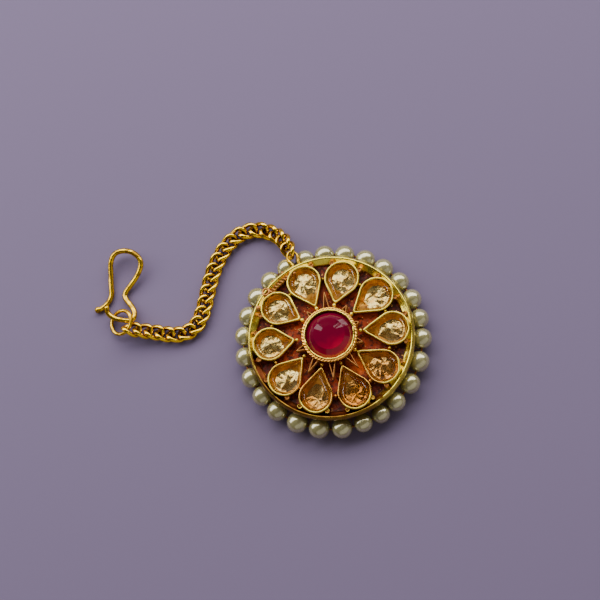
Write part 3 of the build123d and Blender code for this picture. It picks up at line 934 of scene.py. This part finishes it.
class TIKKA_OT_stage(bpy.types.Operator):
    """Camera, plain floor and soft studio lights."""
    bl_idname = "tikka.stage"
    bl_label = "Stage"

    def execute(self, context):
        s = context.scene.tikka_stage
        turn = Matrix.Rotation(s.azimuth, 3, "Z")
        level = Vector((0, sin(s.elevation), cos(s.elevation)))
        back = turn @ Vector((0, -cos(s.elevation), sin(s.elevation)))
        right = turn @ (cos(s.roll) * Vector((1, 0, 0)) - sin(s.roll) * level)
        up = turn @ (sin(s.roll) * Vector((1, 0, 0)) + cos(s.roll) * level)
        middle = turn @ Vector(LOOK_AT) * MM
        data = bpy.data.cameras.new("camera")
        data.lens, data.sensor_width = s.lens, 36
        data.clip_start, data.clip_end = 0.01, 10
        camera = linked("camera", data)
        camera.matrix_world = Matrix.Translation(middle + back * s.distance) @ Matrix(
            (right, up, back)).transposed().to_4x4()
        context.scene.camera = camera

        f = Finish("floor")
        paper = f.grain(0.5, 2)
        matt = f.finish(Base_Color=f.blend(paper * 0.06, tuple(s.floor), tuple(s.floor_grain)),
                        Roughness=0.9, Normal=f.bump(paper, 0.02, 0.3))
        floor = Shape()
        floor.add(circle(FLOOR_RADIUS, 64), [tuple(range(64))])
        floor = floor.mesh("floor", [matt])
        for p in floor.data.polygons:
            if p.normal.z < 0:
                p.flip()

        # turn and height of each light in degrees, and its sides in metres
        for name, azimuth, elevation, wide, high, power, tint in (
                ("key light", 84, 45, 1.6, 0.28, s.key, (1, 0.98, 0.94)),
                ("front light", -80, 34, 0.9, 0.32, s.front, (1, 0.96, 0.86))):
            light = bpy.data.lights.new(name, "AREA")
            light.shape, light.size, light.size_y = "RECTANGLE", wide, high
            light.energy, light.color = power, tint
            lamp = linked(name, light)
            way = Vector((*(polar(1, azimuth) * cos(radians(elevation))),
                          sin(radians(elevation))))
            lamp.location = middle + way * s.light_distance
            lamp.rotation_mode = "QUATERNION"
            lamp.rotation_quaternion = way.to_track_quat("Z", "Y")

        world = context.scene.world or bpy.data.worlds.new("studio")
        context.scene.world = world
        world.use_nodes = True
        sky = world.node_tree.nodes["Background"]
        sky.inputs["Color"].default_value = (*s.sky, 1)
        sky.inputs["Strength"].default_value = s.sky_strength
        return {"FINISHED"}


class TIKKA_OT_cup(bpy.types.Operator):
    """Flared cup with its hammered rim, and the floor that the bezels stand on."""
    bl_idname = "tikka.cup"
    bl_label = "Cup"

    def execute(self, context):
        s = context.scene.tikka_setting
        inner = CUP_RADIUS - CUP_WALL
        profile = [
            (0.02, FLOOR_BOTTOM), (6, FLOOR_BOTTOM),
            *from_edge(inner, [(-0.15, FLOOR_BOTTOM), (0, FLOOR_BOTTOM - 0.15), (0, 1.4),
                               (0, 0.12), (0.12, 0)]),
            *from_edge(CUP_RADIUS, [(-0.15, 0), (-0.04, 0.05), (0, 0.16), (0, 1.2), (0, 2.3),
                                    (0.06, 2.65), (0.3, 3.05), (0.62, 3.55), (0.92, 4.05)]),
            *from_edge(LIP_RADIUS, [(-0.03, 4.25), (0, 4.45), (-0.03, 4.6), (-0.16, 4.88),
                                    (-0.3, 5.12), (-0.36, 5.18), (-0.43, LIP_TOP),
                                    (-0.5, LIP_TOP), (-0.58, 5.14), (-0.75, 4.97),
                                    (-1.0, 4.76), (-1.3, 4.53)]),
            *from_edge(BEVEL_RADIUS, [(0.1, 4.4), (0, BEVEL_BOTTOM), (0, 4.0), (0, FLOOR_TOP)]),
            (9, FLOOR_TOP), (0.02, FLOOR_TOP),
        ]

        def hammered(x, y, z):
            r = hypot(x, y)
            if z > 4.3 and r > BEVEL_RADIUS - 0.01:
                dent = s.dents / MM * (lumps((x, y, z), 2.4, 3) + 0.5 * lumps((x, y, z), 0.9, 8))
                lift = 1.6 * dent if r < BEVEL_EDGE else -abs(0.3 * dent)
                k = min(1 + 0.3 * dent / r, LIP_RADIUS / r)
                return x * k, y * k, z + lift
            return x, y, z

        shape = Shape()
        shape.turned(profile, 360, wobble=hammered)
        dressed(shape.mesh("cup", [gold_plate()]), "gold_plate", "setting")
        return {"FINISHED"}


class TIKKA_OT_bezels(bpy.types.Operator):
    """Ten pear bezels, slightly uneven by hand, and the ruby's collar."""
    bl_idname = "tikka.bezels"
    bl_label = "Bezels and collar"

    def execute(self, context):
        s = context.scene.tikka_setting
        wall = s.wall / MM
        shape = Shape()
        profile = [  # share of the wall's thickness from outside, height
            (0.0, FLOOR_TOP - 0.1), (0.0, 4.2), (0.0, 5.2), (0.02, 5.34), (0.1, 5.46),
            (0.24, 5.56), (0.5, BEZEL_TOP), (0.7, 5.57), (0.88, 5.47), (0.98, 5.33),
            (1.0, 5.15), (1.0, 4.2), (1.0, FLOOR_TOP - 0.1),
        ]
        for index, row in enumerate(PEARS):
            rows = []
            for x, y in pear_loop(index):
                place = in_pear(index, x, y)
                uneven = lumps((*place, 0), 1.3, index + 1)
                thick = wall * (1 + 0.24 * lumps((*place, 0), 0.9, index + 30))
                ring = []
                for part, z in profile:
                    k = 1 - part * thick / row.half
                    px, py = in_pear(index, x * k, y * k)
                    high = max(0.0, z - 4.9)
                    ring.append((px, py, z - high * 0.13 * (0.5 + 0.5 * uneven)))
                rows.append(ring)
            shape.rows(rows, close_rows=True)
        collar = from_edge(COLLAR_RADIUS, [
            (0, FLOOR_TOP - 0.1), (0, 4.6), (0, 5.8), (-0.02, 6.5), (-0.07, 6.82),
            (-0.17, 6.97), (-0.27, COLLAR_TOP), (0.04 - wall, 6.95), (-wall, 6.8),
            (-wall, 5.5), (-wall, FLOOR_TOP - 0.1)])

        def uneven_collar(x, y, z):
            high = max(0.0, z - 5.0) / 2
            k = 1 - 0.018 * high * (0.5 + 0.5 * lumps((x, y, 0), 0.7, 5))
            return x * k, y * k, z - high * 0.12 * (0.5 + 0.5 * lumps((x, y, 0), 0.9, 11))

        shape.turned(collar, 160, wobble=uneven_collar)
        steps, turns, swing = 312, 26, 0.1      # a rope of two strands round the collar
        for strand in (0, pi):
            rope = []
            for k in range(steps):
                lay = 2 * pi * turns * k / steps + strand
                rope.append((*polar(COLLAR_RADIUS + 0.02 + swing * cos(lay), 360 * k / steps),
                             6.56 + swing * sin(lay) + 0.06 * lumps((k, 0, 0), 14)))
            shape.tube(rope, 0.18, 8, closed=True)
        dressed(shape.mesh("bezels", [gold_plate()], crease=50), "gold_plate", "setting")
        return {"FINISHED"}


class TIKKA_OT_claws(bpy.types.Operator):
    """Claws, tip beads and solder joints on their seats, and the mend of the rim."""
    bl_idname = "tikka.claws"
    bl_label = "Claws, beads, joints and mend"

    def execute(self, context):
        s = context.scene.tikka_setting
        claws, beads = [], []
        for index, row in enumerate(PEARS):
            for side in (-1, 1):
                x, y = polar(row.half + CLAW_OUT, side * CLAW_SPREAD)
                claws.append((*in_pear(index, x, y), CLAW_HEIGHT))
            bead = polar(row.tip - 0.1, pear_angle(index) + row.lean)
            joint = polar(SOLDER_RING, between_pears(index))
            beads += [((*bead, BEAD_HEIGHT), s.bead, 1.0),
                      ((*joint, SOLDER_HEIGHT), s.solder, 1.6)]
        ball = Shape()
        ball.ball((0, 0, 0), 1 / MM, rings=10, sides=16)
        ball = ball.mesh("beads", crease=0)
        ball.data.shade_smooth()
        seats, sizes, heights = zip(*beads)
        seats = seats_object("bead seats", seats, size=sizes, stretch=heights)
        on_seats(ball, seats, gold_plate(), 0.12, 4)
        dressed(ball, "gold_plate", "setting")

        wall = [    # in shares of a claw's radius, which its seat gives
            (0.0, 0.22), (0.45, 0.25), (0.62, 0.5), (0.78, 0.58), (0.94, 0.5), (1.0, 0.3),
            (0.98, -1.6), (0.0, -1.6),
        ]
        # the claws far out in one direction are gilt; the others get dark copper: painted shade
        right, up, far = BRIGHT_CLAWS
        for name, gilt, metal in (("claws", True, gold_plate),
                                  ("dull_claws", False, strip_copper)):
            tube = Shape()
            tube.turned(wall, 20)
            tube.points = [tuple(v / MM for v in p) for p in tube.points]
            tube = tube.mesh(name, crease=50)
            places = [p for p in claws if (p[0] * right + p[1] * up > far) == gilt]
            seats = seats_object(name + " seats", places, size=s.claw)
            on_seats(tube, seats, metal(), 0.1, 9)
            dressed(tube, "gold_plate", "setting")

        mend = Shape()
        turned = Matrix.Rotation(radians(MEND_TURN), 3, "Z") @ Matrix.Rotation(radians(15), 3, "Y")
        middle = Vector((*polar(BEVEL_EDGE, MEND_TURN), LIP_TOP))
        mend.tube([tuple(middle + turned @ Vector(p)) for p in circle(0.6, 12)], 0.22, 8,
                  closed=True)
        steps, turns, swing = 120, 7, 0.3       # wire wound along the rim
        coil = []
        for k in range(steps):
            lay = 2 * pi * turns * k / steps
            radius = BEVEL_RADIUS + 0.2 + swing * cos(lay) + 0.15 * lumps((k, 0, 0), 9)
            coil.append((*polar(radius, 115 - 20 * k / steps), 4.95 + swing * sin(lay)))
        mend.tube(coil, 0.17, 8)
        for radius, turn, size in MEND_BALLS:
            mend.ball((*polar(radius, turn), 5.0), size, stretch=(1, 1.2, 0.8))
        dressed(mend.mesh("rim_mend", [strip_copper()]), "gold_wire", "setting")
        return {"FINISHED"}


class TIKKA_OT_strips(bpy.types.Operator):
    """V strips between the bezels, and the wire bail."""
    bl_idname = "tikka.strips"
    bl_label = "Strips and bail"

    def execute(self, context):
        s = context.scene.tikka_setting
        lines = []
        for index, row in enumerate(PEARS):
            turn = Matrix.Rotation(radians(between_pears(index)), 3, "Z")
            reach = COLLAR_RADIUS + (WEDGE_REACH - COLLAR_RADIUS) * row.strip
            foot = COLLAR_RADIUS - 0.2
            lines.append([turn @ Vector((x, y, WEDGE_TOP)) for x, y in
                          ((foot, -WEDGE_SPREAD), (reach, 0), (foot, WEDGE_SPREAD))])
        strips = line_object("strips", lines)
        half = s.strip / MM / 2
        section = [(half, STRIP_FOOT), (half, -0.12), (half * 0.7, -0.03)]
        section += [(0, 0)] + [(-x, y) for x, y in section[::-1]]
        shape = line_object("strip section", [[(x, y, 0) for x, y in section]], closed=True)
        holder = linked("strips_and_bail", bpy.data.meshes.new("strips_and_bail"))
        r = Recipe("strips along paths", Paths=strips, Section=shape, Unevenness=0.02 * MM)
        path = r.node("GeometryNodeResampleCurve", None,
                      {"Curve": r.shape_of("Paths"), "Count": 41})
        path = r.node("GeometryNodeSetCurveNormal", {"mode": "Z_UP"}, {"Curve": path})
        wall = r.node("GeometryNodeCurveToMesh", None,
                      {"Curve": path, "Profile Curve": r.shape_of("Section"), "Fill Caps": True})
        rough = r.node("ShaderNodeTexNoise", None, {"Scale": 900.0}, "Color")
        push = r.vector("SUBTRACT", rough, (0.5, 0.5, 0.5))
        push = r.node("ShaderNodeVectorMath", {"operation": "SCALE"},
                      {0: push, "Scale": r.given("Unevenness")})
        wall = r.node("GeometryNodeSetPosition", None, {"Geometry": wall, "Offset": push})
        r.close(wall)
        r.apply(holder, strip_copper())
        for o in (strips, shape):
            bpy.data.objects.remove(o)
        dressed(holder, "gold_plate", "setting")

        bail = Shape()
        bail.tube(smooth_line(BAIL_ROUTE, 60), 0.25, 14)
        dressed(bail.mesh("bail", [gold_wire()]), "gold_wire", "setting")
        return {"FINISHED"}


class TIKKA_OT_ground(bpy.types.Operator):
    """Red lacquer between the bezels, drawn up a little against every wall."""
    bl_idname = "tikka.ground"
    bl_label = "Red ground"

    def execute(self, context):
        frames = []
        for index, row in enumerate(PEARS):
            middle, _, heading, reach = pear_ends(index)
            frames.append((middle, cos(heading), sin(heading), row.half, reach))

        def outside(x, y):
            """Distance out of the nearest bezel, about 0 on its inner side."""
            nearest = 9.0
            for middle, c, s, half, reach in frames:
                u = (x - middle[0]) * c + (y - middle[1]) * s
                v = abs((y - middle[1]) * c - (x - middle[0]) * s)
                lean = asin(half / reach)
                straight = v * cos(lean) - (u + reach) * sin(lean)
                rounded = hypot(u, v) - half
                nearest = min(nearest, straight if u < -half * sin(lean) else rounded)
            return nearest + 0.2

        rings, steps = 58, 480
        radii = np.linspace(COLLAR_RADIUS - 0.15, BEVEL_RADIUS + 0.1, rings)
        points, gaps = [], []
        for r in radii:
            for x, y, _ in circle(r, steps):
                gap = outside(x, y)
                edge = min(max(gap, 0), r - COLLAR_RADIUS + 0.1, BEVEL_RADIUS + 0.1 - r)
                z = (GROUND_TOP - 0.1 + 0.22 * exp(-max(edge, 0) / 0.18)
                     + 0.1 * lumps((x, y, 0), 1.1, 2) + 0.05 * lumps((x, y, 0), 0.4, 6))
                points.append((x, y, z))
                gaps.append(gap)
        faces = [f for f in grid_faces(rings, steps) if max(gaps[i] for i in f) > 0.0]
        shape = Shape()
        shape.add(points, faces)
        obj = shape.mesh("red_ground_lacquer", [red_lacquer()])
        work = bmesh.new()
        work.from_mesh(obj.data)
        bmesh.ops.delete(work, geom=[v for v in work.verts if not v.link_faces], context="VERTS")
        if sum(f.normal.z for f in work.faces) < 0:
            bmesh.ops.reverse_faces(work, faces=work.faces)
        work.to_mesh(obj.data)
        work.free()
        dressed(obj, "red_ground", "red_ground")
        return {"FINISHED"}


def faceted(outline, hub, tips):
    """A pear stone: table, crown facets and girdle band, with its foiled back as inks 1 and 2.

    The back has a steep outer ring, then nearly flat facets that meet in the hub; tips say how
    far each corner of its two rings is tipped up or down."""
    sides, band_top = len(outline), PEAR_GIRDLE + GIRDLE_BAND
    hub_x, hub_y, hub_height = hub
    points = []

    def put(group):
        points.extend(group)
        return list(range(len(points) - len(group), len(points)))

    def drawn(part, height):
        return put([(x * part, y * part, height) for x, y in outline])

    upper, lower = drawn(1, band_top), drawn(1, PEAR_GIRDLE)
    bevel = drawn((1 + TABLE_SHARE) / 2, band_top + (PEAR_TABLE - band_top) * 0.65)
    flat = drawn(TABLE_SHARE, PEAR_TABLE)
    corners = [(x * FOIL_SHARE, y * FOIL_SHARE) for x, y in outline[1::2]]
    ring = put([(x, y, FOIL_HEIGHT + tip) for (x, y), tip in zip(corners, tips[0])])
    core = put([((x + hub_x) / 2, (y + hub_y) / 2, (hub_height + FOIL_HEIGHT) / 2 + tip)
                for (x, y), tip in zip(corners, tips[1])])
    hub = put([hub])[0]
    faces = [tuple(flat)]
    for k in range(sides):
        n = (k + 1) % sides
        faces += [(upper[k], lower[k], lower[n], upper[n]),
                  (bevel[k], upper[k], upper[n], bevel[n]),
                  (flat[k], bevel[k], bevel[n], flat[n])]
    inks = [0] * len(faces)
    for j in range(len(ring)):
        k, n = 2 * j + 1, (j + 1) % len(ring)
        last, first = 2 * j, (2 * j + 2) % sides
        faces += [(lower[last], lower[k], ring[j]), (lower[k], lower[first], ring[j]),
                  (lower[first], ring[n], ring[j]), (ring[j], ring[n], core[j]),
                  (core[j], ring[n], core[n]), (core[j], core[n], hub)]
        inks += [2, 2, 2, 1, 1, 1]
    return points, faces, inks


class TIKKA_OT_pears(bpy.types.Operator):
    """Ten foil-backed pear stones."""
    bl_idname = "tikka.pears"
    bl_label = "Pear stones"

    def execute(self, context):
        materials = [cut_glass(), pear_foil(), foil_edge()]
        for index, row in enumerate(PEARS):
            half = row.half - STONE_GAP
            reach = pear_ends(index)[3] * half / row.half
            corner = 90 + degrees(asin(half / reach))
            past = [max(0.0, min(turn, 360 - turn) - corner) for turn in range(0, 360, 15)]
            outline = [polar(half / cos(radians(over)), 15 * k) for k, over in enumerate(past)]
            dice = np.random.default_rng(40 + index)
            hub_x, hub_y, bulge = row.hub
            points, faces, inks = faceted(
                outline, (hub_x, hub_y, FOIL_HEIGHT + bulge),
                dice.uniform(-FOIL_TIP, FOIL_TIP, (2, len(outline) // 2)))
            stone = Shape()
            stone.add([(*in_pear(index, x, y), z) for x, y, z in points], faces, inks)
            stone = stone.mesh(f"pear_stone_{index + 1:02d}", materials, crease=25)
            for face in stone.data.polygons:
                face.use_smooth = face.material_index == 0
            dressed(stone, "champagne_glass", f"pear_{index + 1:02d}")
        return {"FINISHED"}


class TIKKA_OT_ruby(bpy.types.Operator):
    """Round ruby with a broad table."""
    bl_idname = "tikka.ruby"
    bl_label = "Ruby"

    def execute(self, context):
        radius = COLLAR_RADIUS - STONE_GAP
        stone = Shape()
        stone.rows([[(x, y, z - dip * (k in RUBY_WORN))
                     for k, (x, y, z) in enumerate(circle(radius * part, 32, height, -22))]
                    for part, height, dip in RUBY_RINGS])
        dressed(stone.mesh("ruby_stone", [ruby_glass()], crease=0), "ruby_glass", "ruby")
        return {"FINISHED"}


class TIKKA_OT_pearls(bpy.types.Operator):
    """Drilled pearls strung round the cup, with their wire and its ties."""
    bl_idname = "tikka.pearls"
    bl_label = "Pearls and wire"

    def execute(self, context):
        s = context.scene.tikka_pearls
        shape = Shape()
        drill, ways = 0.14, around(28)
        rows = []
        for step in np.linspace(drill, pi - drill, 21):
            x, out = -s.stretch / 2 * cos(step), sin(step) ** 0.96 / 2
            rows.append([(x, out * cos(t), out * sin(t)) for t in ways])
        inner = [[(x * 0.72, 0.06 * cos(t), 0.06 * sin(t)) for t in ways]
                 for x in (rows[0][0][0], rows[-1][0][0])]
        shape.rows([inner[0], *rows, inner[1]])
        pearls = shape.mesh("pearls", crease=60)

        dice = np.random.default_rng(7)
        seats = seats_object(
            "pearl seats",
            [(*polar(s.radius / MM, pearl_angle(i)), s.height / MM) for i in range(len(PEARLS))],
            size=[width for _, width in PEARLS],
            turn=[radians(pearl_angle(i)) + pi / 2 for i in range(len(PEARLS))],
            spin=dice.uniform(0, 2 * pi, len(PEARLS)), tone=dice.uniform(0, 1, len(PEARLS)))
        on_seats(pearls, seats, nacre(), 0.0, 7)
        dressed(pearls, "pearl", *(f"pearl_{i + 1:02d}" for i in range(len(PEARLS))))

        tie = Shape()
        tie.tube(np.linspace((CUP_RADIUS + 0.02, 0, 0), (s.radius / MM, 0, 0), 5), 0.05, 8)
        tie = tie.mesh("pearl_ties")
        seats = seats_object("tie seats", [(0, 0, s.height / MM)] * len(PEARLS),
                             turn=[radians(tie_angle(i)) for i in range(len(PEARLS))])
        # the ties sit low, so they take the deep brown: painted shade under the lip
        on_seats(tie, seats, strip_copper(), 0.0, 1)
        dressed(tie, "gold_wire", "pearl_wire")
        thread = Shape()
        thread.tube(circle(s.radius / MM, 180, s.height / MM), 0.18, 10, closed=True)
        # the thread sits low too and takes the same painted shade
        dressed(thread.mesh("pearl_thread", [strip_copper()]), "gold_wire", "pearl_wire")
        return {"FINISHED"}


class TIKKA_OT_chain(bpy.types.Operator):
    """Twisted curb links along the chain's line, and the jump ring."""
    bl_idname = "tikka.chain"
    bl_label = "Chain and jump ring"

    def execute(self, context):
        s = context.scene.tikka_chain
        a, b, k = (v / MM for v in (s.half_length, s.half_width, s.twist))
        filed = k + s.wire / MM * 0.97      # height at which a link is filed flat
        shape = Shape()
        rows, rub_and_light_values = [], []
        for t in around(36):
            middle = np.array((a * cos(t), b * sin(t), k * sin(2 * t)))
            along = np.array((-a * sin(t), b * cos(t), 2 * k * cos(2 * t)))
            along /= np.linalg.norm(along)
            out = np.array((cos(t), sin(t), 0))
            out -= along * out.dot(along)
            out /= np.linalg.norm(out)
            across = np.cross(along, out)
            row = [s.wire / MM * (s.flatten * cos(p) * out + sin(p) * across)
                   for p in around(12)]
            # how rubbed and lit each point is: more above and outside; the rest is painted shade
            rub_and_light_values += [0.43 + (0.45 * p[2] + 0.4 * np.dot(p, (cos(t), sin(t), 0))) / s.wire * MM
                     for p in row]
            rows.append([np.clip(middle + p, (-9, -9, -filed), (9, 9, filed)) for p in row])
        shape.rows(rows, close_rows=True)
        links = shape.mesh("chain_links", crease=60)
        links.data.attributes.new("rub", "FLOAT", "POINT").data.foreach_set("value", rub_and_light_values)

        line = line_object("chain line", [smooth_line(CHAIN_ROUTE, 300, CHAIN_HEADINGS)])
        r = Recipe("links along a line", Line=line, Links=s.links, End_roll=s.end_roll,
                   Roll_links=s.roll_links)
        path = r.node("GeometryNodeResampleCurve", None,
                      {"Curve": r.shape_of("Line"), "Count": r.given("Links")})
        index = r.node("GeometryNodeInputIndex")
        along = r.node("GeometryNodeInputTangent")
        left = r.vector("CROSS_PRODUCT", (0, 0, 1), along)
        frame_turn = r.node("FunctionNodeAxesToRotation",
                            {"primary_axis": "X", "secondary_axis": "Y"},
                            {"Primary Axis": along, "Secondary Axis": left})
        from_last = r.given("Links") - 1 - index
        fade_in = (1 - index / r.given("Roll_links")).most(0.0)
        fade_out = (1 - from_last / r.given("Roll_links")).most(0.0)
        roll = r.node("FunctionNodeAxisAngleToRotation", None,
                      {"Axis": (1, 0, 0), "Angle": r.given("End_roll") * (fade_out - fade_in)})
        turn = r.node("FunctionNodeRotateRotation", {"rotation_space": "LOCAL"},
                      {"Rotation": frame_turn, "Rotate By": roll})
        r.close(r.node("GeometryNodeInstanceOnPoints", None,
                       {"Points": path, "Instance": r.given("Geometry"), "Rotation": turn}))
        r.apply(links, chain_gold())
        for v in links.data.vertices:
            v.co.z = max(v.co.z, 0)
        bpy.data.objects.remove(line)
        dressed(links, "gold_wire", "curb_chain")

        ring = Shape()
        place = (Matrix.Translation(RING_CENTRE) @ Matrix.Rotation(radians(RING_TURN), 4, "Z")
                 @ Matrix.Rotation(radians(-RING_TILT), 4, "Y"))
        ring.tube(circle(s.ring / MM, 72), s.ring_wire / MM, 14, closed=True)
        ring.points = [tuple(place @ Vector(p)) for p in ring.points]
        dressed(ring.mesh("jump_ring_wire", [gold_wire()]), "gold_wire", "jump_ring")
        return {"FINISHED"}


class TIKKA_OT_hook(bpy.types.Operator):
    """Bent wire hook with a ball at its free end."""
    bl_idname = "tikka.hook"
    bl_label = "Hook"

    def execute(self, context):
        s = context.scene.tikka_hook
        line = smooth_line(HOOK_ROUTE, 240)
        shape = Shape()
        radii = [s.wire / MM * (0.99 - 0.04 * abs(lumps(p, 1.1, 3))) for p in line]
        shape.tube(line, radii, 18)
        shape.ball(HOOK_ROUTE[0], s.ball / MM * 0.99, 14, 20)
        shape.ball(line[-1], s.wire / MM, 12, 18)
        dressed(shape.mesh("hook_wire", [gold_wire()], crease=60), "gold_wire", "hook")
        return {"FINISHED"}


class TIKKA_OT_back(bpy.types.Operator):
    """Gilt disc that closes the cup from behind."""
    bl_idname = "tikka.back"
    bl_label = "Back plate"

    def execute(self, context):
        low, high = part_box("back_plate")
        radius, top = high.x / MM, high.z / MM
        shape = Shape()
        shape.turned([(0.02, 0), (4, 0), (8, 0),
                      *from_edge(radius, [(-0.12, 0), (-0.03, 0.04), (0, 0.12),
                                          (0, top - 0.1), (-0.1, top)]),
                      (8, top), (0.02, top)], 180)
        dressed(shape.mesh("back_disc", [back_gilt()]), "gold_plate", "back_plate")
        return {"FINISHED"}


OPERATORS = (
    TIKKA_OT_stage, TIKKA_OT_cup, TIKKA_OT_bezels, TIKKA_OT_claws, TIKKA_OT_strips,
    TIKKA_OT_ground, TIKKA_OT_pears, TIKKA_OT_ruby, TIKKA_OT_pearls, TIKKA_OT_chain,
    TIKKA_OT_hook, TIKKA_OT_back,
)

GROUPS = {
    "tikka_metal": TikkaMetal,
    "tikka_setting": TikkaSetting,
    "tikka_stones": TikkaStones,
    "tikka_pearls": TikkaPearls,
    "tikka_chain": TikkaChain,
    "tikka_hook": TikkaHook,
    "tikka_stage": TikkaStage,
}


class TIKKA_PT_panel(bpy.types.Panel):
    """Every piece's button, with its sizes and colours."""
    bl_idname = "TIKKA_PT_panel"
    bl_label = "Maang tikka"
    bl_space_type = "VIEW_3D"
    bl_region_type = "UI"
    bl_category = "Tikka"

    def draw(self, context):
        for operator in OPERATORS:
            self.layout.operator(operator.bl_idname)
        for name, group in GROUPS.items():
            box = self.layout.box()
            box.label(text=group.__doc__)
            for key in group.__annotations__:
                box.prop(getattr(context.scene, name), key)


CLASSES = (*GROUPS.values(), *OPERATORS, TIKKA_PT_panel)


def register():
    for made in CLASSES:
        bpy.utils.register_class(made)
    for name, group in GROUPS.items():
        setattr(bpy.types.Scene, name, PointerProperty(type=group))


def unregister():
    for name in GROUPS:
        delattr(bpy.types.Scene, name)
    for made in reversed(CLASSES):
        bpy.utils.unregister_class(made)


def main():
    register()
    for operator in OPERATORS:
        area, name = operator.bl_idname.split(".")
        getattr(getattr(bpy.ops, area), name)()


if __name__ == "__main__":
    main()
